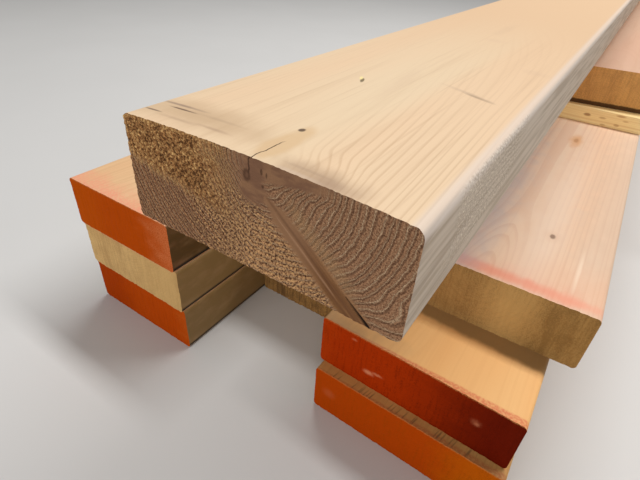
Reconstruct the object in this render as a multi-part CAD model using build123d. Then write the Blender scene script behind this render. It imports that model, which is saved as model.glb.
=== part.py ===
from build123d import *
import os
from math import radians, tan

# Stack of planed softwood boards, three layers deep in three columns, with cross battens, two boards on the
# battens, more battens on those and one board pulled forward on top. X runs across the boards, Y along them
# away from their near ends, Z up. The origin is on the floor under the middle of the stack. Millimetres.

# Every board has this thickness
board_thickness = 45.0

# Column boards: two widths
left_width = 120.0
centre_width = 120.0
right_width = 145.0
column_length = 2400.0
column_gap = 0.5
edge_radius = 3.0

# Near ends of the column boards, at their left corners, back from the near end of the top board
lower_left_setback = 79.5
middle_left_setback = 77.5
upper_left_setback = 75.5
centre_setback = 185.0
lower_right_setback = 98.5
middle_right_setback = 107.5
upper_right_setback = 166.0

# Sideways slip of the right column's boards from their tight place
lower_right_slip = 2.5
upper_right_slip = 15.5

# Degrees that the near ends are sawn off square, with the right side further back
lower_right_skew = -1.4
middle_right_skew = -1.8
upper_right_skew = 0.4

# Cross battens, flat sawn laths that keep the layers apart
batten_width = 45.0
batten_thickness = 19.0
batten_edge_radius = 1.0
batten_count = 3

# Lower row, across all three columns. The last lath stays a set way short of the carriers' far ends.
lower_batten_length = 398.0
lower_batten_inset = 3.0
lower_batten_setback = 553.0
lower_batten_far_inset = 323.5

# Boards lying on the lower row
carrier_width = 145.0
carrier_length = 1800.0
carrier_inset = 111.5
carrier_gap = 0.5
left_carrier_setback = 560.0
left_carrier_skew = 1.0
right_carrier_setback = 556.5
right_carrier_skew = 6.8

# Upper row, short ones under the top board. The last lath stays a set way short of its far end.
upper_batten_length = 210.0
upper_batten_inset = 115.5
upper_batten_setback = 680.0
upper_batten_far_inset = 240.0

# Top board: bent a little in drying. Its upper face is crowned left of the middle and lowest at the right
# side, and its under face is slightly hollow.
top_width = 120.0
top_length = 2400.0
top_inset = 99.0
top_edge_radius = 3.0
top_crown_inset = 50.0
top_left_drop = 1.0
top_right_drop = 3.0
top_hollow = 0.5


def board(width, thickness, length, radius, end_skew=0.0):
    """A planed board with eased long edges. Its near end is sawn end_skew degrees off square."""
    far_side = width * tan(radians(end_skew))
    outline = Polyline((0, 0), (width, far_side), (width, length), (0, length), close=True)
    blank = extrude(make_face(outline), thickness)
    return fillet(blank.edges().filter_by(Axis.Y), radius)


def crowned_board(width, thickness, length, radius, crown_inset, left_drop, right_drop, hollow):
    """A board that is thickest crown_inset from its left side, falls by the drops to its two sides above,
    and is hollow below."""
    left_top = (0, thickness - left_drop)
    right_top = (width, thickness - right_drop)
    under = ThreePointArc((0, 0), (width / 2, hollow), (width, 0))
    right = Line((width, 0), right_top)
    crown = ThreePointArc(right_top, (crown_inset, thickness), left_top)
    left = Line(left_top, (0, 0))
    section = make_face([under, right, crown, left])
    section = fillet(section.vertices(), radius)
    return extrude(Plane.XZ * section, -length)


def column(name, x, width, layers):
    """Boards one on another from the floor up. layers holds each one's name, slip, setback and end skew."""
    pieces = {}
    for level, (layer, slip, setback, skew) in enumerate(layers):
        piece = board(width, board_thickness, column_length, edge_radius, skew)
        pieces[f"{name}_board_{layer}"] = Pos(x + slip, setback, level * board_thickness) * piece
    return pieces


def battens(row, length, inset, first, last, z):
    """One row of laths across the boards below them, evenly spaced from the first to the last."""
    pieces = {}
    spacing = (last - first) / (batten_count - 1)
    for number in range(batten_count):
        lath = Box(length, batten_width, batten_thickness, align=(Align.MIN, Align.MIN, Align.MIN))
        lath = fillet(lath.edges().filter_by(Axis.X), batten_edge_radius)
        pieces[f"{row}_batten_{number + 1}"] = Pos(inset, first + number * spacing, z) * lath
    return pieces


def carriers(z):
    """Two boards side by side on the lower battens."""
    pieces = {}
    rows = [
        ("left", left_carrier_setback, left_carrier_skew),
        ("right", right_carrier_setback, right_carrier_skew),
    ]
    for number, (name, setback, skew) in enumerate(rows):
        x = carrier_inset + number * (carrier_width + carrier_gap)
        piece = board(carrier_width, board_thickness, carrier_length, edge_radius, skew)
        pieces[f"carrier_board_{name}"] = Pos(x, setback, z) * piece
    return pieces


left_layers = [
    ("bottom", 0, lower_left_setback, 0),
    ("middle", 0, middle_left_setback, 0),
    ("top", 0, upper_left_setback, 0),
]
centre_layers = [
    ("bottom", 0, centre_setback, 0),
    ("middle", 0, centre_setback, 0),
    ("top", 0, centre_setback, 0),
]
right_layers = [
    ("bottom", lower_right_slip, lower_right_setback, lower_right_skew),
    ("middle", 0, middle_right_setback, middle_right_skew),
    ("top", upper_right_slip, upper_right_setback, upper_right_skew),
]

centre_x = left_width + column_gap
right_x = centre_x + centre_width + column_gap
lower_batten_z = len(left_layers) * board_thickness
carrier_z = lower_batten_z + batten_thickness
upper_batten_z = carrier_z + board_thickness
top_z = upper_batten_z + batten_thickness
lower_last = right_carrier_setback + carrier_length - lower_batten_far_inset
upper_last = top_length - upper_batten_far_inset

nodes = {}
nodes.update(column("left", 0, left_width, left_layers))
nodes.update(column("centre", centre_x, centre_width, centre_layers))
nodes.update(column("right", right_x, right_width, right_layers))
nodes.update(battens(
    "lower", lower_batten_length, lower_batten_inset, lower_batten_setback, lower_last, lower_batten_z,
))
nodes.update(carriers(carrier_z))
nodes.update(battens(
    "upper", upper_batten_length, upper_batten_inset, upper_batten_setback, upper_last, upper_batten_z,
))
top_board = crowned_board(
    top_width, board_thickness, top_length, top_edge_radius,
    top_crown_inset, top_left_drop, top_right_drop, top_hollow,
)
nodes["top_board"] = Pos(carrier_inset + top_inset, 0, top_z) * top_board

box = Compound(list(nodes.values())).bounding_box()
to_origin = Pos(-box.center().X, -box.center().Y, -box.min.Z)

os.makedirs("parts", exist_ok=True)
for name, shape in nodes.items():
    export_step(to_origin * shape, f"parts/{name}.step")
print("size", box.size, "moved by", to_origin.position)
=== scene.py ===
import bpy
import numpy as np
from mathutils import Matrix, Vector


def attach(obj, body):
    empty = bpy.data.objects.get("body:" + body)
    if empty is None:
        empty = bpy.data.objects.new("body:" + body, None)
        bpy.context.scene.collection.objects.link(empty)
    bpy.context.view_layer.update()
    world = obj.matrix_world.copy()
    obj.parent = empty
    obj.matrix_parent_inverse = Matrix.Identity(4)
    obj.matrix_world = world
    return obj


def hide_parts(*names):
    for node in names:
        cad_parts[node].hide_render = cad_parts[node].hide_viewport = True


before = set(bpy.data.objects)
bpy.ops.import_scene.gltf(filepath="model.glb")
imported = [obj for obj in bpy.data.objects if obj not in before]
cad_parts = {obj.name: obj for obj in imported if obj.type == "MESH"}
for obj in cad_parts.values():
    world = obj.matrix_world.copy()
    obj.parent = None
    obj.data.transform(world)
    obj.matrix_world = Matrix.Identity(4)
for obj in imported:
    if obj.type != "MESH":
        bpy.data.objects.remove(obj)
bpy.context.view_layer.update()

# Camera. It is held by hand close in front of the top board's near right corner, a little tilted, and looks
# down and back along the stack through a short lens.
camera = bpy.data.objects.new("camera", bpy.data.cameras.new("camera"))
bpy.context.scene.collection.objects.link(camera)
bpy.context.scene.camera = camera
camera.data.lens = 25.22
camera.data.sensor_width = 36.0
camera.data.clip_start = 0.01
camera.data.clip_end = 60.0
to_the_right = np.array([0.8299, 0.5551, 0.0563])
downward = np.array([0.3596, -0.4549, -0.8147])
forward = np.cross(to_the_right, downward)
aim = Matrix(np.stack([to_the_right, -downward, -forward], axis=1).tolist()).to_4x4()
camera.matrix_world = Matrix.Translation((0.15618, -1.38718, 0.32231)) @ aim

# Left column. Three planed spruce boards, 45 x 120 mm and 2.4 m long, lie one on another with their sawn
# ends nearly level. The top and bottom ends are sprayed orange at the mill and the middle one is bare.

# Sizes are in mm and places in the frame in metres. eased is the radius of the long edges, and grid_step the
# spacing of the points on the ends.
board_thickness = 45
narrow = 120
column_length = 2400
eased = 3.0
grid_step = 0.9
mm = 0.001
mm_per_metre = 1000
faint_rings = 0.16


def smooth_between(value, low, high):
    """0 up to low, 1 from high, and 3 s s - 2 s s s between, where s is the way from low to high."""
    s = np.clip((value - low) / (high - low), 0, 1)
    return s * s * (3 - 2 * s)


def lumps(x, z, cell_x, cell_z, seed):
    """Random heights from -1 to 1 on a lattice of cells, blended smoothly across each cell."""
    cells = 256
    shift = 40
    values = np.random.default_rng(seed).uniform(-1, 1, (cells, cells))
    a = x / cell_x + shift
    b = z / cell_z + shift
    i = np.floor(a).astype(int)
    j = np.floor(b).astype(int)
    s = smooth_between(a - i, 0, 1)
    t = smooth_between(b - j, 0, 1)
    i %= cells - 1
    j %= cells - 1
    near = values[i, j] * (1 - s) + values[i + 1, j] * s
    far = values[i, j + 1] * (1 - s) + values[i + 1, j + 1] * s
    return near * (1 - t) + far * t


def sawn(x, z, seed, fuzz):
    """Depth of a coarse sawn end in mm: fuzz stretched along the saw's strokes, and finer fibre ends."""
    strokes = lumps(x, z, 1.6, 9, seed)
    fibres = lumps(x, z, 1.8, 1.8, seed + 1)
    return fuzz * (strokes + fibres + 1.2)


def board(node, low, width, thickness, length, radius, step, ends, skew=0.0, crown=None, turned=False):
    """A board as one closed skin, with the places across and up of its end's points, in mm.

    The section is a grid across and up. In a corner's square of side r the grid's place (p, q) goes to
    (p sqrt(1 - q q / 2), q sqrt(1 - p p / 2)), so the grid's rim is the rounded section. The rim is carried
    along the board through stations that are close together near the ends, and the grid closes both ends.
    ends(x, z, far) gives the depth of the sawn surface. crown holds three points of the upper face's curve
    and the hollow below, and the section is stretched between those two curves. A turned board lies along X.
    """
    across = np.linspace(0, width, round(width / step) + 1)
    up = np.linspace(0, thickness, round(thickness / step) + 1)
    x, z = (side.copy() for side in np.meshgrid(across, up, indexing="ij"))
    for right, top in ((0, 0), (0, 1), (1, 0), (1, 1)):
        p = (x - width if right else -x) / radius + 1
        q = (z - thickness if top else -z) / radius + 1
        corner = (p > 0) & (q > 0)
        new_p = radius * (1 - p * np.sqrt(1 - np.minimum(q * q, 1) / 2))
        new_q = radius * (1 - q * np.sqrt(1 - np.minimum(p * p, 1) / 2))
        x = np.where(corner, width - new_p if right else new_p, x)
        z = np.where(corner, thickness - new_q if top else new_q, z)
    grid = np.arange(x.size).reshape(x.shape)
    rim = np.concatenate([grid[:-1, 0], grid[-1, :-1], grid[:0:-1, -1], grid[0, :0:-1]])
    x = x.ravel()
    z = z.ravel()
    near_stations = np.array([1.2, 2.0, 3.2, 5, 8, 13, 21, 34, 55, 90, 150, 250, 400])
    near_stations = near_stations[near_stations < length / 2]
    middle_stations = np.linspace(near_stations[-1], length - near_stations[-1], 12)[1:-1]
    stations = np.concatenate([near_stations, middle_stations, length - near_stations[::-1]])
    bend = np.zeros(x.size)
    if crown:
        under = crown[3] * (1 - (2 * x / width - 1) ** 2)
        over = np.polyval(np.polyfit(*zip(*crown[:3]), 2), x)
        bend = under + z / thickness * (over - under) - z
    slope = np.tan(np.radians(skew))
    near = np.stack([x, ends(x, z, 0) + x * slope, z + bend], 1)
    far = np.stack([x, length - ends(x, z, 1), z + bend], 1)
    sides = np.stack([
        np.tile(x[rim], len(stations)),
        np.repeat(stations, len(rim)) + np.outer(1 - stations / length, x[rim] * slope).ravel(),
        np.tile((z + bend)[rim], len(stations)),
    ], 1)
    points = np.concatenate([near, far, sides])
    if turned:
        points = np.stack([points[:, 1], width - points[:, 0], points[:, 2]], 1)
    points = points * mm + np.array(low)
    cap = np.stack([grid[:-1, :-1], grid[1:, :-1], grid[1:, 1:], grid[:-1, 1:]], -1).reshape(-1, 4)
    loops = 2 * x.size + np.arange(len(stations) * len(rim)).reshape(len(stations), len(rim))
    loops = np.concatenate([rim[None], loops, rim[None] + x.size])
    a = loops[:-1]
    b = loops[1:]
    wall = np.stack([a, b, np.roll(b, -1, 1), np.roll(a, -1, 1)], -1).reshape(-1, 4)
    faces = np.concatenate([cap, cap[:, ::-1] + x.size, wall])
    mesh = bpy.data.meshes.new(f"{node}_wood")
    mesh.vertices.add(len(points))
    mesh.vertices.foreach_set("co", points.astype(np.float32).ravel())
    mesh.loops.add(faces.size)
    mesh.loops.foreach_set("vertex_index", faces.astype(np.int32).ravel())
    mesh.polygons.add(len(faces))
    mesh.polygons.foreach_set("loop_start", np.arange(0, faces.size, 4, dtype=np.int32))
    mesh.polygons.foreach_set("material_index", (np.arange(len(faces)) < 2 * len(cap)).astype(np.int32))
    mesh.update(calc_edges=True)
    mesh.polygons.foreach_set("use_smooth", np.ones(len(faces), bool))
    on_rim = np.zeros(len(points), bool)
    on_rim[rim] = True
    on_rim[rim + x.size] = True
    edges = np.zeros(2 * len(mesh.edges), np.int32)
    mesh.edges.foreach_get("vertices", edges)
    sharp = mesh.attributes.new("sharp_edge", "BOOLEAN", "EDGE")
    sharp.data.foreach_set("value", on_rim[edges.reshape(-1, 2)].all(1))
    piece = bpy.data.objects.new(f"{node}_wood", mesh)
    bpy.context.scene.collection.objects.link(piece)
    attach(piece, "root")
    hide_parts(node)
    return piece, x, z


class Signal:
    """A socket in a finish. A sum written with it adds the Math nodes that work it out."""

    def __init__(self, socket):
        self.socket = socket
        self.tree = socket.id_data

    def node(self, kind, settings, values, output=0):
        """Adds a node of that kind, gives it its settings and then sets or links its sockets."""
        made = self.tree.nodes.new(kind)
        for key, setting in settings.items():
            setattr(made, key, setting)
        for key, value in values.items():
            if isinstance(value, Signal):
                self.tree.links.new(value.socket, made.inputs[key])
            else:
                made.inputs[key].default_value = value
        return Signal(made.outputs[output])

    def maths(self, operation, first, second=0.0):
        return self.node("ShaderNodeMath", {"operation": operation}, {0: first, 1: second})

    def __add__(self, other):
        return self.maths("ADD", self, other)

    def __sub__(self, other):
        return self.maths("SUBTRACT", self, other)

    def __mul__(self, other):
        return self.maths("MULTIPLY", self, other)

    def __truediv__(self, other):
        return self.maths("DIVIDE", self, other)

    def __rsub__(self, other):
        return self.maths("SUBTRACT", other, self)

    __radd__ = __add__


def rise(signal, low, high):
    """A mask: 0 on low's side, 1 on high's, smooth between."""
    return signal.node(
        "ShaderNodeMapRange",
        {"interpolation_type": "SMOOTHSTEP"},
        {"Value": signal, "From Min": low, "From Max": high},
    )


def mottle(place, per_mm, detail=2.0, output=0):
    """Noise of so many features per mm across, along and up the board, from 0 to 1 around 0.5."""
    stretched = place.node("ShaderNodeVectorMath", {"operation": "MULTIPLY"}, {0: place, 1: per_mm})
    values = {"Vector": stretched, "Scale": 1.0, "Detail": detail}
    return place.node("ShaderNodeTexNoise", {}, values, output)


def tint(colour, other, mask):
    """The colour, with the other one where the mask is 1."""
    values = {0: mask}
    for key, value in ((6, colour), (7, other)):
        values[key] = value if isinstance(value, Signal) else (*value, 1.0)
    return mask.node("ShaderNodeMix", {"data_type": "RGBA"}, values, 2)


def apart(vector):
    """The three parts of a vector or colour."""
    split = vector.node("ShaderNodeSeparateXYZ", {}, {0: vector}).socket.node
    return [Signal(socket) for socket in split.outputs]


def start_finish(name, corner, turned=False):
    """A new material, and the place in mm from the board's near left lower corner, whole and in parts."""
    material = bpy.data.materials.new(name)
    material.use_nodes = True
    material.node_tree.nodes.clear()
    place = Signal(material.node_tree.nodes.new("ShaderNodeTexCoord").outputs["Object"])
    shift = -mm_per_metre * np.array(corner)
    if turned:
        shift = np.array([-shift[1], shift[0], shift[2]])
    values = {"Vector": place, "Location": shift.tolist(), "Scale": [mm_per_metre] * 3}
    values["Rotation"] = (0, 0, np.pi / 2 if turned else 0)
    place = place.node("ShaderNodeMapping", {}, values)
    return material, place, *apart(place)


def close_finish(material, colour, roughness, height, depth, shine):
    """Joins the colour, the roughness and a height of that depth in mm to the surface."""
    bump = height.node("ShaderNodeBump", {}, {"Height": height, "Distance": depth * mm})
    values = {"Base Color": colour, "Roughness": roughness, "Normal": bump, "Specular IOR Level": shine}
    surface = colour.node("ShaderNodeBsdfPrincipled", {}, values)
    output = material.node_tree.nodes.new("ShaderNodeOutputMaterial")
    material.node_tree.links.new(surface.socket, output.inputs["Surface"])
    return material


def growth(place, pith, lean, width, sway, straight_from=1e4):
    """Growth rings: the distance from the pith's leaning line, swayed by slow noise, in ring widths.

    The pith leans only as far as straight_from and runs straight on from there.
    """
    x, y, z = apart(place)
    y = place.node("ShaderNodeMath", {"operation": "SMOOTH_MIN"}, {0: y, 1: straight_from, 2: 50.0})
    drift_x, drift_y, _ = apart(mottle(place, (0.014, 0.0035, 0.014), 1.5, 1))
    across = x - pith[0] - y * lean[0] + (drift_x - 0.5) * sway
    up = z - pith[1] - y * lean[1] + (drift_y - 0.5) * sway
    radius = place.maths("SQRT", across * across + up * up) + (mottle(place, (0.3, 0.01, 0.3)) - 0.5) * 0.8
    pace = place.node("ShaderNodeTexNoise", {"noise_dimensions": "1D"}, {"W": radius, "Scale": 0.08})
    return radius / width + pace * 2.5


def late_wood(count):
    """The late wood of counted rings: a line that darkens to each ring's outside and stops."""
    part = count.maths("FRACT", count)
    return rise(part, 0.5, 0.9) * rise(part, 1.0, 0.95)


def planed(place, late, pale, warm, dark, strength):
    """Planed softwood: pale early wood with warm clouds, darker late wood, and fine streaks along it."""
    cloud = mottle(place, (0.02, 0.002, 0.02))
    streaks = mottle(place, (0.9, 0.01, 0.9), 3.0)
    broad = mottle(place, (0.14, 0.003, 0.14), 2.0)
    colour = tint(pale, warm, rise(cloud, 0.35, 0.68))
    colour = tint(colour, dark, rise(broad, 0.5, 0.7) * 0.16)
    colour = tint(colour, dark, late * strength)
    return tint(colour, dark, rise(streaks, 0.5, 0.8) * 0.22)


def spot(x, y, centre, size, slant, wobble, soft):
    """A mask round a place on a face, an ellipse slanted by that many mm across per mm along."""
    across = (x - centre[0] - (y - centre[1]) * slant) * (1 / size[0])
    back = (y - centre[1]) * (1 / size[1])
    distance = x.maths("SQRT", across * across + back * back) + (wobble - 0.5) * 1.2
    return rise(distance, 1.0 + soft, 1.0 - soft)


def dress(piece, node, corner, pith, lean, ring, tones, strength, size, side=None, spots=(), end_spots=(),
          spray=None, turned=False, sway=22.0, foot=0.0, painted_shade_from=None, straight_from=1e4):
    """Gives a board its two finishes, planed faces and sawn ends.

    tones are the face's pale, warm and late wood and the end's pale and dark. side is a darker tone for its
    right side; on the left column it is painted shade under the top board. spots are knots and stains on its
    upper face, or on a turned lath's front, and end_spots are stains on its ends. Some spots and end_spots
    are painted shade, and one spot is a painted highlight. Each spot has its centre, reach, slant, tone,
    amount and softness.
    spray holds the paint of the near end, its darker and its worn tone, the mist's tone, how far the mist
    reaches back in mm, where across the end the darker and the worn tone begin and end, and chips in it.
    foot is how far up a line of painted shade stands along the lower edge of the end. The argument after
    it tells how far back on the upper face a painted shade starts, under the end of the board above.
    """
    width, thickness = size
    pale, warm, dark, end_pale, end_dark = tones
    material, place, x, y, z = start_finish(f"{node}_face", corner, turned)
    late = late_wood(growth(place, pith, lean, ring, sway, straight_from))
    colour = planed(place, late, pale, warm, dark, strength)
    wobble = mottle(place, (0.12, 0.06, 0.12), 3.0)
    right_side = rise(x, width - 1.8, width - 0.4)
    if spray:
        paint, deep, worn, mist_tone, mist_reach, deep_span, worn_span, chips = spray
        drift = (mottle(place, (0.06, 0.06, 0.06), 3.0) - 0.5) * mist_reach
        mist = rise(y + drift * 1.2, mist_reach, 0.0)
        drops = rise(mottle(place, (0.6, 0.6, 0.6), 3.0), 0.36, 0.6) * 0.6 + 0.4
        colour = tint(colour, mist_tone, mist * drops * 0.8)
    # The right side takes its darker tone, with a line of painted shade along its lower edge.
    if side:
        shaded = [0.1 * c for c in side]
        colour = tint(colour, side, right_side * (rise(wobble, 0.2, 0.6) * 0.15 + 0.85))
        colour = tint(colour, shaded, right_side * rise(z, 5.5, 3.0) * 0.95)
    facing = right_side if turned else rise(z, thickness - 5.0, thickness - 2.5)
    for centre, reach, slant, tone, amount, soft in spots:
        mask = spot(z if turned else x, y, centre, reach, slant, wobble, soft)
        colour = tint(colour, tone, mask * facing * amount)
    # A painted shade on the upper face, from that far back, under the end of the board above.
    if painted_shade_from:
        back = y + x * 0.04 + (wobble - 0.5) * 4.0 - painted_shade_from
        painted_shade = rise(back, -3.0, 2.5) * rise(back, 45.0, 25.0) * facing
        colour = tint(colour, (0.26, 0.15, 0.055), painted_shade * 0.85)
    grit = mottle(place, (2.5, 0.15, 2.5), 2.0)
    face = close_finish(material, colour, 0.55 + grit * 0.15, grit + late * 0.3, 0.07, 0.35)

    material, place, x, y, z = start_finish(f"{node}_end", corner, turned)
    late = late_wood(growth(place, pith, lean, ring, sway))
    strokes = mottle(place, (0.5, 0.1, 0.05), 3.0)
    fuzz = mottle(place, (1.2, 0.2, 1.0), 4.0)
    blotch = mottle(place, (0.05, 0.02, 0.06), 2.0)
    band = mottle(place, (0.07, 0.05, 0.015), 2.0)
    dirt = strokes * 0.35 + fuzz * 0.45 + blotch * 0.25 + band * 0.4
    colour = tint(end_pale, end_dark, rise(dirt, 0.59, 0.87))
    colour = tint(colour, end_dark, late * 0.22)
    for centre, reach, slant, tone, amount, soft in end_spots:
        colour = tint(colour, tone, spot(x, z, centre, reach, slant, fuzz, soft) * amount)
    # A line of painted shade along the lower edge of the end.
    if foot:
        dark_line = rise(z + (strokes - 0.5) * 2.0, foot + 0.9, foot - 0.9)
        colour = tint(colour, (0.05, 0.022, 0.01), dark_line * 0.9)
    if spray:
        coat = mottle(place, (0.06, 0.05, 0.1), 3.0)
        painted = tint(paint, deep, rise(x + (coat - 0.5) * 20.0, *deep_span))
        thin = rise(x + (coat - 0.5) * 50.0, *worn_span) * rise(fuzz, 0.2, 0.7)
        painted = tint(painted, worn, thin * 0.6)
        hollows = rise(strokes * 0.5 + fuzz * 0.5, 0.5, 0.36)
        painted = tint(painted, [0.6 * c for c in deep], hollows * 0.35)
        rim = rise(z + (fuzz - 0.5) * 3.5, thickness - 1.4, thickness - 0.4)
        painted = tint(painted, (0.50, 0.20, 0.06), rim * 0.6)
        for centre, reach, amount in chips:
            chipped = spot(x, z, centre, reach, 0.0, fuzz, 0.8)
            painted = tint(painted, (0.66, 0.24, 0.115), chipped * amount)
        near_end = rise(y, 200, 100)
        colour = tint(colour, painted, near_end)
    rough, depth, shine = (0.7, 0.14, 0.02) if spray else (0.8, 0.32, 0.06)
    relief = fuzz + strokes * 0.5 + late * 0.3
    end = close_finish(material, colour, fuzz * 0.15 + rough, relief, depth, shine)
    piece.data.materials.append(face)
    piece.data.materials.append(end)


spruce = (
    (0.74, 0.48, 0.26), (0.72, 0.43, 0.22), (0.45, 0.24, 0.10),
    (0.70, 0.45, 0.185), (0.50, 0.30, 0.12),
)
low_spray = (
    (0.46, 0.060, 0.002), (0.38, 0.044, 0.001), (0.54, 0.12, 0.015),
    (0.55, 0.24, 0.10), 6.0, (60, 20), (100, 130), (),
)
high_spray = (
    (0.45, 0.062, 0.001), (0.47, 0.072, 0.001), (0.70, 0.25, 0.10),
    (0.80, 0.27, 0.17), 26.0, (50, 15), (80, 124), (),
)
# Layer, near left lower corner, pith, the pith's lean, ring width, tone of the right side as painted shade
# under the top board, spray
left_rows = [
    ("bottom", (-0.201, -1.213, 0.0), (70, -30), (0.004, -0.02), 3.1, (0.25, 0.15, 0.05), low_spray),
    ("middle", (-0.201, -1.215, 0.045), (30, 95), (-0.003, 0.01), 2.6, (0.26, 0.155, 0.052), None),
    ("top", (-0.201, -1.217, 0.09), (85, -12), (0.002, -0.03), 3.4, (0.095, 0.046, 0.008), high_spray),
]
# A painted shade over the right of the bare end, where the top board shades it, and a pinkish rim along its
# upper edge.
bare_spots = [
    ((105, 20), (34, 50), 0.0, (0.56, 0.34, 0.13), 0.55, 0.9),
    ((45, 46), (70, 4.5), 0.0, (0.74, 0.36, 0.18), 0.4, 0.7),
]
for number, (layer, corner, pith, lean, ring, side, spray) in enumerate(left_rows):
    node = f"left_board_{layer}"
    fuzzy = 0.14 if spray else 0.26
    piece = board(
        node, corner, narrow, board_thickness, column_length, eased, grid_step,
        lambda x, z, far: sawn(x, z, 10 + number + 5 * far, fuzzy),
    )[0]
    dress(piece, node, corner, pith, lean, ring, spruce, faint_rings, (narrow, board_thickness),
          side=side, end_spots=bare_spots, spray=spray)

# Centre column. Three more 45 x 120 mm boards stand further back, pushed against the left column. Their
# ends are bare, browned by the weather and coarse from the saw.

browned = (*spruce[:3], (0.40, 0.21, 0.065), (0.13, 0.065, 0.025))
# Layer, near left lower corner, pith, the pith's lean, ring width
centre_rows = [
    ("bottom", (-0.0805, -1.1075, 0.0), (20, 88), (0.002, 0.012), 2.8),
    ("middle", (-0.0805, -1.1075, 0.045), (64, -20), (-0.002, -0.016), 3.2),
    ("top", (-0.0805, -1.1075, 0.09), (96, 70), (0.003, 0.01), 2.5),
]
for number, (layer, corner, pith, lean, ring) in enumerate(centre_rows):
    node = f"centre_board_{layer}"
    piece = board(
        node, corner, narrow, board_thickness, column_length, eased, grid_step,
        lambda x, z, far: sawn(x, z, 30 + number + 5 * far, 0.32),
    )[0]
    dress(piece, node, corner, pith, lean, ring, browned, 0.35, (narrow, board_thickness),
          side=(0.4, 0.25, 0.12))

# Right column. Three wider boards, 45 x 145 mm, lie a little shifted on each other. The bottom end is
# sprayed orange and the middle one red. The top one is bare, with a soft red line on its face along the end.

wide = 145
brown_face = ((0.58, 0.31, 0.095), (0.54, 0.27, 0.08), (0.26, 0.12, 0.035), *spruce[3:])
yellow_face = ((0.86, 0.50, 0.20), (0.84, 0.45, 0.165), (0.74, 0.37, 0.13), *spruce[3:])
pink_face = (
    (0.80, 0.60, 0.44), (0.80, 0.54, 0.36), (0.68, 0.42, 0.28),
    (0.45, 0.255, 0.085), (0.25, 0.135, 0.043),
)
orange_spray = (
    (0.43, 0.053, 0.001), (0.46, 0.088, 0.001), (0.5, 0.11, 0.01),
    (0.42, 0.13, 0.04), 2.5, (90, 130), (-60, -90), (((13, 23), (4.5, 4.0), 0.14),),
)
# Centre, reach and amount of each chip
red_chips = (
    ((27, 39), (1.8, 1.0), 0.4), ((41.5, 14.6), (3.4, 1.9), 0.85), ((48.5, 17.0), (3.4, 1.2), 0.6),
    ((118.5, 26), (2.8, 2.6), 0.2), ((119.5, 25), (1.4, 1.2), 0.3),
)
red_spray = (
    (0.38, 0.030, 0.001), (0.12, 0.007, 0.001), (0.44, 0.048, 0.003),
    (0.66, 0.15, 0.06), 1.8, (50, 135), (22, 0), red_chips,
)
# A painted highlight where the shadow of the top board above it falls, a darker area towards the right
# edge, a warmer area at the front right, the red line and its haze, a painted grey shadow beside the top
# board, a knot, a bright streak, and a wider knot further back.
pink_spots = [
    ((94, 115), (14, 150), 0.0, (0.86, 0.69, 0.54), 0.6, 1.0),
    ((140, 170), (20, 240), 0.0, (0.55, 0.39, 0.275), 0.5, 1.0),
    ((135, 25), (40, 22), 0.0, (0.80, 0.42, 0.25), 0.35, 1.0),
    ((70, 8.5), (82, 5.6), 0.0, (0.82, 0.26, 0.16), 0.65, 0.75),
    ((66, 9), (80, 11), 0.0, (0.82, 0.30, 0.19), 0.25, 1.0),
    ((45, 95), (16, 160), 0.0, (0.46, 0.46, 0.50), 0.65, 1.0),
    ((101, 81), (2.1, 3.7), 0.0, (0.07, 0.03, 0.012), 0.97, 0.35),
    ((101, 81), (5.0, 7.0), 0.0, (0.72, 0.47, 0.32), 0.4, 0.9),
    ((125, 46), (1.2, 19.0), 0.0, (0.86, 0.67, 0.50), 0.7, 0.8),
    ((84, 312), (6.5, 20.0), 0.0, (0.70, 0.36, 0.15), 0.7, 0.6),
    ((84, 312), (2.4, 7.0), 0.0, (0.42, 0.19, 0.07), 0.6, 0.5),
]
# A paler streak down the middle, darker towards the right, and a painted shade at the left where the top
# board shades the end.
pink_end_spots = [
    ((93, 24), (16, 34), 0.0, (0.62, 0.37, 0.13), 0.65, 0.9),
    ((138, 20), (30, 40), 0.0, (0.25, 0.12, 0.03), 0.4, 0.9),
    ((50, 22), (28, 36), 0.0, (0.32, 0.16, 0.05), 0.45, 0.9),
]
# A painted shade on the front left of the upper face, where the top board shades it.
red_top_spots = [((12, 0), (36, 14), 0.0, (0.40, 0.26, 0.14), 0.7, 0.9)]
# Short dark splinters where the end meets the upper face.
ticks = [
    ((x, 1.6), (0.45, 3.4), 0.25, (0.08, 0.04, 0.02), 0.5, 0.8)
    for x in np.random.default_rng(7).uniform(15, 120, 24)
]
# Layer, near left lower corner, pith, the pith's lean, ring width, degrees off square, tones, how strongly
# the rings show, and what else the board has
right_rows = [
    ("bottom", (0.0425, -1.194, 0.0), (50, 100), (0.002, 0.012), 2.9, -1.4, brown_face, faint_rings,
     {"spray": orange_spray, "spots": ticks}),
    # The middle board's upper face gets a painted shade, 49 mm back, under the end of the board above.
    ("middle", (0.040, -1.185, 0.045), (100, -40), (-0.002, -0.016), 3.0, -1.8, yellow_face, faint_rings,
     {"spray": red_spray, "spots": red_top_spots, "painted_shade_from": 49.0}),
    ("top", (0.0555, -1.1265, 0.09), (67, 40), (0.05, -0.16), 3.9, 0.4, pink_face, 0.4,
     {"spots": pink_spots, "end_spots": pink_end_spots, "sway": 7.0, "straight_from": 100.0}),
]
for number, (layer, corner, pith, lean, ring, skew, tones, strength, more) in enumerate(right_rows):
    node = f"right_board_{layer}"
    fuzzy = 0.16 if "spray" in more else 0.24
    piece = board(
        node, corner, wide, board_thickness, column_length, eased, grid_step,
        lambda x, z, far: sawn(x, z, 50 + number + 5 * far, fuzzy), skew,
    )[0]
    dress(piece, node, corner, pith, lean, ring, tones, strength, (wide, board_thickness), **more)

# Battens. Sawn laths, 19 x 45 mm, laid across the boards to keep the layers apart: three long ones on the
# third layer and three short ones under the top board. They are yellow pine with small knots.

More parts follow.
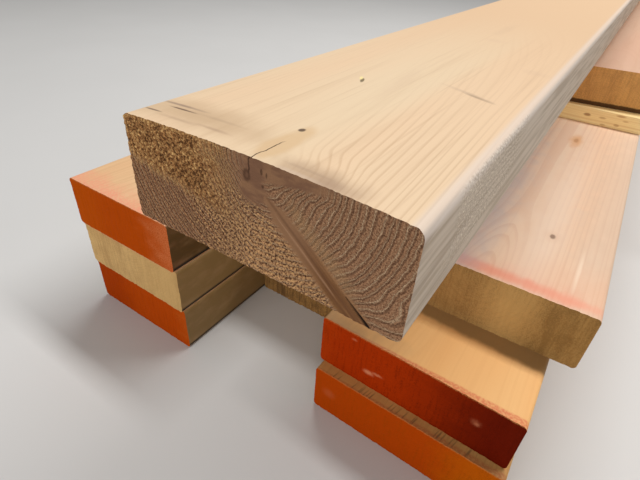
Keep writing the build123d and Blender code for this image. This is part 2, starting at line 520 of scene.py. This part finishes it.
yellow_pine = (
    (0.98, 0.77, 0.38), (0.97, 0.73, 0.34), (0.62, 0.31, 0.10),
    (0.6, 0.35, 0.13), (0.34, 0.17, 0.06),
)
lath_knots = [
    ((10.5, 336.0), (1.7, 3.4), 0.0, (0.36, 0.16, 0.05), 0.8, 0.4),
    ((10.2, 353.0), (1.1, 3.6), 0.0, (0.52, 0.26, 0.09), 0.6, 0.5),
    ((2.2, 356.0), (1.0, 2.6), 0.0, (0.52, 0.26, 0.09), 0.5, 0.5),
    ((5.0, 370.5), (1.3, 2.6), 0.0, (0.46, 0.21, 0.07), 0.6, 0.5),
    ((16.5, 371.5), (1.2, 5.0), 0.0, (0.46, 0.21, 0.07), 0.65, 0.5),
    ((11.5, 378.5), (1.0, 3.0), 0.0, (0.52, 0.26, 0.09), 0.5, 0.5),
]
lath_width = 45
lath_thickness = 19
lath_eased = 1.0
lath_step = 0.75
lath_rings = 2.4
lath_spacing = 0.74
laths_in_row = 3
# Row, near left lower corner of its first lath, length
lath_rows = [
    ("lower", (-0.198, -0.7395, 0.135), 398),
    ("upper", (-0.0855, -0.6125, 0.199), 210),
]
for row, (name, first, length) in enumerate(lath_rows):
    for place_in_row in range(laths_in_row):
        number = laths_in_row * row + place_in_row
        node = f"{name}_batten_{place_in_row + 1}"
        corner = (first[0], first[1] + lath_spacing * place_in_row, first[2])
        piece = board(
            node, corner, lath_width, lath_thickness, length, lath_eased, lath_step,
            lambda x, z, far: sawn(x, z, 70 + number + 10 * far, 0.2), turned=True,
        )[0]
        back_corner = (corner[0], corner[1] + lath_width * mm, corner[2])
        dress(piece, node, back_corner, (10 + 9 * number, -12), (0.01, -0.03), lath_rings, yellow_pine, 0.22,
              (lath_width, lath_thickness), spots=lath_knots, turned=True)

# Carrier boards. Two boards, 45 x 145 mm and 1.8 m long, lie side by side on the lower battens. The right
# one was cut out of square. Their ends have gone brown, with a line of painted shade along the foot.

rosy = (
    (0.64, 0.42, 0.29), (0.64, 0.39, 0.265), (0.56, 0.32, 0.19),
    (0.69, 0.36, 0.115), (0.48, 0.24, 0.08),
)
carrier_length = 1800
carrier_rings = 2.8
# Node, near left lower corner, pith, the pith's lean, degrees off square
carrier_rows = [
    ("carrier_board_left", (-0.0895, -0.7325, 0.154), (40, 70), (0.002, 0.01), 1.0),
    ("carrier_board_right", (0.056, -0.736, 0.154), (90, -20), (-0.002, -0.02), 6.8),
]
for number, (node, corner, pith, lean, skew) in enumerate(carrier_rows):
    piece = board(
        node, corner, wide, board_thickness, carrier_length, eased, grid_step,
        lambda x, z, far: sawn(x, z, 90 + number + 5 * far, 0.2), skew,
    )[0]
    dress(piece, node, corner, pith, lean, carrier_rings, rosy, faint_rings, (wide, board_thickness),
          foot=5.0)

# Top board. One clean planed board, 45 x 120 mm, a little crowned. Its end was cut with a worn saw: the
# fibres are torn at the upper left, the rings stand in fuzzy ridges, and a spike knot runs from the pith to
# the lower right. The end has browned, and the planed faces are still pale.

top_corner = (0.0095, -1.2925, 0.218)
top_step = 0.4
# The spike knot and the split run from start to end, in mm across and up. spike_across is the way across it.
spike_start = (68.2, 32.1)
spike_end = (104.3, 0)
spike_across = (0.665, 0.747)
split_start = (99.5, 8.5)
split_end = (108.5, 0.4)


def along(x, z, start, end):
    """Distance of each point from the straight run start to end, and its way along it from 0 to 1."""
    run = np.subtract(end, start)
    way = np.clip(((x - start[0]) * run[0] + (z - start[1]) * run[1]) / (run @ run), 0, 1)
    return np.hypot(x - start[0] - way * run[0], z - start[1] - way * run[1]), way


def end_marks(x, z):
    """Where the near end is torn, golden, calm, spike knot or split, from 0 to 1."""
    down = z - board_thickness
    wave = lumps(x, z, 4, 4, 201) + 0.6 * lumps(x, z, 1.7, 1.7, 202)
    torn = smooth_between(down + 16 + 0.22 * x + 2.0 * wave, -3, 3)
    torn = torn * (1 - smooth_between(x + 4 * wave, 34, 58))
    band, way = along(x, z, spike_start, spike_end)
    half = 1.5 + 2.6 * smooth_between(way, 0, 0.15) + 1.0 * way
    spike = 1 - smooth_between(band + 0.35 * wave, half - 1.4, half + 1.0)
    golden = smooth_between(x + 0.25 * down + 3 * wave, 12, 34) * smooth_between(-down + 2 * wave, 7, 19)
    golden = golden * (1 - smooth_between(x + 1.12 * down, 43, 49))
    wedge = smooth_between(down - (0.16 * (x - 95) - 2.3) + 0.6 * wave, -0.8, 0.8)
    wedge = wedge * smooth_between(x, 50, 62) * (1 - smooth_between(x + 2 * wave, 84, 98))
    pith = 1 - smooth_between(np.hypot((x - 62.5) / 6, (down + 10.5) / 6.5) + 0.15 * wave, 0.7, 1.3)
    calm = np.maximum(np.maximum(spike, wedge), pith)
    off_split = along(x, z, split_start, split_end)[0] - 0.07 * (x - split_start[0])
    split = 1 - smooth_between(off_split, -0.1, 0.3)
    return torn, golden * (1 - calm), calm, spike, split


def top_board_end(x, z, far):
    """Depth of the top board's ends in mm: deep pits between torn fibres, fuzz, and knots left smooth."""
    if far:
        return sawn(x, z, 115, 0.14)
    torn, golden, calm, _, split = end_marks(x, z)
    clumps = 0.5 * lumps(x + z, z - x, 1.1, 0.8, 203) + 0.9 * lumps(x, z, 0.55, 0.55, 204)
    fine = lumps(x, z, 0.5, 0.6, 205)
    rim = np.minimum(np.minimum(x, narrow - x), np.minimum(z, board_thickness - z))
    inside = smooth_between(rim, 0, 1.5)
    ragged = (1 - smooth_between(rim, 0, 0.8)) * (0.22 + 0.22 * lumps(x, z, 1.1, 1.1, 206))
    depth = torn * 0.46 * (1 + clumps) + (0.08 + 0.16 * golden) * (1 - calm) * (1 + fine)
    return 0.05 + ragged + depth * (0.4 + 0.6 * inside) + 0.4 * split * inside


piece, x, z = board(
    "top_board", top_corner, narrow, board_thickness, column_length, eased, top_step,
    top_board_end, crown=((0, 44), (50, 45), (120, 42), 0.5),
)
mark_names = ("torn", "golden", "calm", "spike", "split", "pit")
mark_values = (*end_marks(x, z), np.clip(top_board_end(x, z, 0), 0, 1))
for name, values in zip(mark_names, mark_values):
    spread = np.zeros(len(piece.data.vertices), np.float32)
    spread[:x.size] = values
    piece.data.attributes.new(name, "FLOAT", "POINT").data.foreach_set("value", spread)

# Its sawn end. Fuzzy ridges of late wood with grooves beside them, which bend round the knots. The ridges
# are painted lighter as a highlight and the grooves darker as painted shade, on top of their bump.
material, place, x, _, z = start_finish("top_board_end", top_corner)
torn, golden, calm, spike, split, pit = (
    place.node("ShaderNodeAttribute", {"attribute_name": name}, {}, 2) for name in mark_names
)
beside = (x - spike_start[0]) * spike_across[0] + (z - spike_start[1]) * spike_across[1]
left_side = rise(x, 62.0, 44.0)
bow = rise(z, 36.0, 41.5) * rise(x, 99.0, 86.0) * 1.3
bow = bow + rise(place.maths("ABSOLUTE", beside), 13.0, 4.0) * (rise(x, 96.0, 84.0) * 1.1 - 0.5)
bow = bow + rise(z, 18.0, 4.0) * rise(x, 94.0, 112.0) * ((x - 108.0) * 0.17 + (z - 8.0) * 0.08)
count = growth(place, (65.0, 44.0), (0.0, 0.0), 2.5, 2.0)
wander = (mottle(place, (0.3, 0.1, 0.3)) - 0.5) * 0.35 + (mottle(place, (1.3, 0.1, 1.3)) - 0.5) * 0.22
count = count * (left_side * 0.27 + 1.0) - bow + wander
part = place.maths("FRACT", count)
half_part = place.maths("FRACT", count * 2.0 + 0.3)
turned_place = place.node("ShaderNodeMapping", {}, {"Vector": place, "Rotation": (0, 0.9, 0)})
fuzz = mottle(turned_place, (1.9, 0.3, 1.7), 4.0)
speckle = mottle(turned_place, (1.05, 0.3, 1.2), 3.0)
# A painted pool of warmer light over the low middle of the end.
low_middle = rise(x - z * 0.2, 28.0, 58.0) * rise(x, 100.0, 80.0) * rise(z, 30.0, 12.0)
ridge = rise(part, 0.24, 0.36) * rise(part, 0.50, 0.42) * (rise(fuzz, 0.34, 0.54) * 0.6 + 0.4)
second = rise(half_part, 0.3, 0.46) * rise(half_part, 0.7, 0.54) * rise(fuzz, 0.36, 0.6)
groove = rise(part, 0.50, 0.60) * rise(part, 0.82, 0.66)
colour = tint((0.36, 0.183, 0.096), (0.305, 0.131, 0.060), left_side)
colour = tint(colour, (0.59, 0.305, 0.138), low_middle)
colour = tint(colour, (0.155, 0.068, 0.034), rise(fuzz, 0.51, 0.38) * 0.8)
colour = tint(colour, (0.52, 0.32, 0.185), rise(fuzz, 0.51, 0.64) * 0.55)
colour = tint(colour, (0.62, 0.41, 0.25), ridge * (0.92 - left_side * 0.2))
colour = tint(colour, (0.48, 0.29, 0.165), second * 0.35)
colour = tint(colour, (0.10, 0.042, 0.022), groove * (0.5 + left_side * 0.45))
grain = golden.maths("MAXIMUM", golden, left_side * 0.4)
colour = tint(colour, (0.74, 0.425, 0.185), grain * rise(speckle, 0.51, 0.62) * 0.9)
colour = tint(colour, (0.095, 0.040, 0.018), grain * rise(speckle, 0.47, 0.37) * 0.9)

# The smooth parts of the end: the wood round the pith, and the spike knot with its fibres along it.
clouds = rise(mottle(place, (0.12, 0.05, 0.3)), 0.42, 0.62)
calm_colour = tint((0.19, 0.095, 0.054), (0.255, 0.133, 0.07), clouds)
core = tint((0.28, 0.138, 0.055), (0.18, 0.080, 0.032), rise(beside + (fuzz - 0.5) * 2.4, -4.6, -2.8))
core = tint(core, (0.30, 0.152, 0.068), rise(beside + (fuzz - 0.5) * 2.0, 2.2, 4.0))
down_the_spike = (x * spike_across[1] - z * spike_across[0]) * 0.07
lengthwise = place.node("ShaderNodeCombineXYZ", {}, {0: beside, 2: down_the_spike})
fibre = mottle(lengthwise, (0.8, 0.8, 0.8), 3.0)
core = tint(core, (0.30, 0.145, 0.066), rise(fibre, 0.5, 0.34) * 0.45)
core = tint(core, (0.13, 0.055, 0.026), rise(fibre, 0.5, 0.68) * 0.6)
core = tint(core, (0.31, 0.168, 0.090), rise(x, 94.0, 76.0) * 0.65)
calm_colour = tint(calm_colour, core, rise(spike, 0.1, 0.7))
lip = rise(beside, 3.0, 5.0) * rise(beside, 11.0, 7.0) * rise(x, 74.0, 80.0) * rise(x, 106.0, 98.0)
colour = tint(colour, (0.46, 0.27, 0.13), lip * 0.4)
colour = tint(colour, calm_colour, calm)
middle = place.maths("ABSOLUTE", beside + 1.0 + (fibre - 0.5) * 1.2)
pale_streak = rise(middle, 0.6, 0.1) * rise(x, 70.0, 74.0) * rise(x, 97.0, 93.0)
colour = tint(colour, (0.42, 0.24, 0.14), pale_streak * spike * 0.45)
dark_streak = rise(place.maths("ABSOLUTE", beside - 0.6), 1.0, 0.1)
colour = tint(colour, (0.10, 0.042, 0.022), dark_streak * spike * 0.4)

# The torn fibres: pale wood brightened as a painted highlight on their tips, and painted shade in the pits
# between them.
shreds = mottle(turned_place, (1.9, 0.3, 1.3), 2.0)
torn_colour = tint((0.43, 0.20, 0.070), (0.96, 0.60, 0.24), rise(pit, 0.66, 0.2) * rise(shreds, 0.42, 0.58))
torn_colour = tint(torn_colour, (0.085, 0.034, 0.011), rise(pit - (shreds - 0.5) * 1.4, 0.60, 0.86) * 0.85)
colour = tint(colour, torn_colour, torn * 0.95)

# A small knot under the upper edge with a crack above it, specks beside them, and the split at the foot.
knot = place.maths("SQRT", (x - 60.0) * (x - 60.0) * 0.35 + (z - 38.3) * (z - 38.3) * 0.16)
knot = knot + (mottle(place, (0.5, 0.1, 0.5)) - 0.5) * 0.7
colour = tint(colour, (0.085, 0.04, 0.022), rise(knot, 1.2, 0.6) * 0.8)
colour = tint(colour, (0.17, 0.085, 0.048), rise(knot, 0.5, 0.2) * 0.7)
crack = place.maths("ABSOLUTE", x - 60.9 - (mottle(place, (0.1, 0.1, 0.35)) - 0.5) * 2.2)
crack = rise(crack, 0.36, 0.05) * rise(z, 38.5, 40.5)
colour = tint(colour, (0.07, 0.032, 0.018), crack * 0.7)
specks = ((66.0, 41.2, 0.5, 1.1), (66.4, 36.3, 0.5, 0.6), (68.0, 40.6, 0.35, 0.9))
for at_x, at_z, reach_x, reach_z in specks:
    speck = (x - at_x) * (x - at_x) * (1 / reach_x**2) + (z - at_z) * (z - at_z) * (1 / reach_z**2)
    colour = tint(colour, (0.06, 0.028, 0.016), rise(speck + (fuzz - 0.5) * 1.6, 1.6, 0.3) * 0.7)
colour = tint(colour, (0.012, 0.006, 0.004), split)
busy = 1.0 - calm * 0.9
height = (fuzz * 1.1 + ridge * 0.6 + second * 0.25 - groove * 0.5) * busy
height = height - crack * 0.6 + speckle * grain * 0.9
end = close_finish(material, colour, 0.8 + fuzz * 0.15, height, 0.7, 0.1)

# Its planed faces. Fine rings run beside the pith on the right, and a crack with a small knot lies over it.
material, place, x, y, z = start_finish("top_board_face", top_corner)
drawn_in = x + y * (rise(x, 125.0, 60.0) * 0.11 + 0.02)
leaning = place.node("ShaderNodeCombineXYZ", {}, {0: drawn_in, 1: y, 2: z})
count = growth(leaning, (62.0, 35.0), (0.0, 0.0), 2.75, 6.0)
swirl = place.maths("SQRT", (x - 80.0) * (x - 80.0) + y * y)
part = place.maths("FRACT", count - rise(swirl, 24.0, 4.0) * 1.7)
line = rise(part, 0.56, 0.84) * rise(part, 1.0, 0.9)
wobble = mottle(place, (0.12, 0.06, 0.12), 3.0)
up = rise(z, 40.0, 42.5)
lined = rise(x + (wobble - 0.5) * 14.0, 66.0, 84.0) * (0.07 + rise(y, 120.0, 20.0) * 0.2) + 0.04
colour = planed(place, line, (0.77, 0.585, 0.38), (0.785, 0.55, 0.345), (0.46, 0.27, 0.13), lined)
colour = tint(colour, (0.73, 0.49, 0.29), rise(y, 70.0, 400.0))
# The right side: a grey weathered tone, darkened further as painted shade, with darker grain loops near the
# end.
side = rise(x, 118.3, 119.8)
weather = mottle(place, (0.3, 0.012, 0.3), 4.0)
weathered_and_shaded = tint((0.56, 0.46, 0.36), (0.42, 0.33, 0.24), rise(weather, 0.42, 0.62))
weathered_and_shaded = tint(weathered_and_shaded, (0.30, 0.22, 0.15), line * rise(y + (wobble - 0.5) * 60.0, 70.0, 20.0) * 0.6)
colour = tint(colour, weathered_and_shaded, side)
# A pale band along the upper right arris, partly paler wood and partly a painted highlight, fading further
# back.
pale_and_highlight_edge = rise(x, 114.5, 117.5) * rise(z, 37.0, 39.5) * (1.0 - rise(y, 500.0, 1500.0) * 0.7)
colour = tint(colour, (0.74, 0.63, 0.555), pale_and_highlight_edge * 0.6)
# Marks on the upper face: a brown haze and dark streaks at the left corner, a smear over the smooth wood,
# the small knot with its halo, a yellow spot of pitch, a slanting scar, and faint clouds further back.
face_marks = [
    ((25, 14.5), (25, 9.0), 0.0, (0.56, 0.38, 0.22), 0.85, 0.9),
    ((12, 18.7), (10.5, 0.8), 0.0, (0.28, 0.18, 0.13), 0.75, 0.7),
    ((15.5, 15.5), (6.5, 0.6), 0.0, (0.12, 0.06, 0.035), 0.85, 0.4),
    ((7.2, 8.9), (4.0, 0.55), 0.0, (0.15, 0.08, 0.05), 0.75, 0.4),
    ((22, 7.2), (8.0, 0.9), 0.0, (0.42, 0.27, 0.17), 0.5, 0.9),
    ((37, 8.4), (6.5, 0.8), 0.0, (0.40, 0.25, 0.155), 0.55, 0.9),
    ((33, 16), (9.0, 0.8), 0.0, (0.46, 0.31, 0.19), 0.5, 0.9),
    ((84, 3.0), (14, 6.4), 0.0, (0.42, 0.275, 0.165), 0.72, 0.7),
    ((79, 1.0), (8, 1.1), 0.0, (0.62, 0.47, 0.36), 0.45, 0.7),
    ((80, 5.0), (8, 0.8), 0.0, (0.33, 0.21, 0.135), 0.25, 0.6),
    ((90, 2.2), (5.5, 2.8), 0.0, (0.33, 0.20, 0.125), 0.45, 0.9),
    ((62.8, 15), (4.6, 15.0), 0.0, (0.67, 0.45, 0.24), 0.8, 0.35),
    ((60.8, 28.2), (1.1, 1.4), 0.0, (0.09, 0.045, 0.02), 0.92, 0.35),
    ((46.2, 97.4), (0.9, 2.8), -0.35, (0.12, 0.08, 0.02), 0.85, 0.35),
    ((44.0, 100.4), (0.8, 2.2), -0.4, (0.93, 0.76, 0.30), 0.75, 0.4),
    ((91.0, 118), (5.0, 3.2), -2.4, (0.54, 0.38, 0.25), 0.6, 0.8),
    ((96.0, 115.6), (3.8, 1.8), -2.4, (0.34, 0.22, 0.13), 0.6, 0.8),
    ((61, 112), (3.5, 26.0), -0.12, (0.64, 0.45, 0.29), 0.3, 0.7),
    ((107, 186), (6.5, 5.0), 0.0, (0.62, 0.42, 0.27), 0.22, 0.7),
    ((66, 250), (6.5, 5.0), 0.0, (0.66, 0.44, 0.28), 0.25, 0.7),
    ((60, 300), (3.5, 24.0), 0.02, (0.62, 0.42, 0.26), 0.28, 0.7),
]
for centre, reach, slant, tone, amount, soft in face_marks:
    colour = tint(colour, tone, spot(x, y, centre, reach, slant, wobble, soft) * up * amount)
drying = place.maths("ABSOLUTE", x - 62.3 - (mottle(place, (0.02, 0.16, 0.02)) - 0.5) * 3.0)
drying = rise(drying, 0.26, 0.05) * rise(y, 18.0, 12.0) * up
colour = tint(colour, (0.14, 0.06, 0.03), drying * 0.85)
# A rough patch on the right side, painted darker in its pecks as shade and paler on its raised fibres as a
# highlight.
rough = side * rise(y + (wobble - 0.5) * 40.0, 26.0, 38.0) * rise(y + (wobble - 0.5) * 60.0, 130.0, 100.0)
rough = rough * rise(z + (wobble - 0.5) * 20.0, 8.0, 16.0)
pecks = mottle(place, (1.0, 0.8, 1.0), 3.0)
colour = tint(colour, (0.38, 0.28, 0.19), rough * rise(pecks, 0.48, 0.34) * 0.7)
colour = tint(colour, (0.92, 0.82, 0.66), rough * rise(pecks, 0.52, 0.66) * 0.6)
grit = mottle(place, (2.5, 0.15, 2.5), 2.0)
height = grit * 0.15 + line * lined * 0.2 + rough * pecks * 2.5 - drying * 3.0
face = close_finish(material, colour, 0.5 + grit * 0.15, height, 0.3, 0.4)
piece.data.materials.append(face)
piece.data.materials.append(end)

# Floor. Plain, pale and matt, 0.3 mm below the stack so that no two faces share a plane.
bpy.ops.mesh.primitive_plane_add(size=30.0, location=(0, 0, -0.0003))
floor = bpy.context.object
floor.name = "floor"
material, place, *_ = start_finish("floor", (0, 0, 0))
clouds = mottle(place, (0.004, 0.004, 0.004), 3.0)
colour = tint((0.60, 0.59, 0.575), (0.64, 0.63, 0.615), clouds)
floor.data.materials.append(close_finish(material, colour, clouds * 0.05 + 0.8, clouds, 0.1, 0.2))

# Light. A long soft strip overhead and a little behind the near ends, a weaker wide lamp low in front of
# them, and a pale room around.

# Name, place, target, breadth, depth, watts
lamp_rows = [
    ("overhead", (0.5, -0.05, 2.6), (0.5, -0.7, 0.0), 3.0, 0.4, 73.0),
    ("front", (0.5, -3.9, 1.2), (0.5, -1.2, 0.1), 3.0, 1.4, 39.0),
]
for name, stand, target, breadth, depth, power in lamp_rows:
    lamp = bpy.data.objects.new(name, bpy.data.lights.new(name, "AREA"))
    lamp.data.shape = "RECTANGLE"
    lamp.data.size = breadth
    lamp.data.size_y = depth
    lamp.data.energy = power
    lamp.location = stand
    lamp.rotation_euler = (Vector(target) - Vector(stand)).to_track_quat("-Z", "Y").to_euler()
    bpy.context.scene.collection.objects.link(lamp)
world = bpy.data.worlds.new("room")
world.use_nodes = True
background = world.node_tree.nodes["Background"]
background.inputs["Color"].default_value = (1.0, 0.99, 0.97, 1.0)
background.inputs["Strength"].default_value = 0.28
bpy.context.scene.world = world
bpy.context.scene.view_settings.view_transform = "Standard"
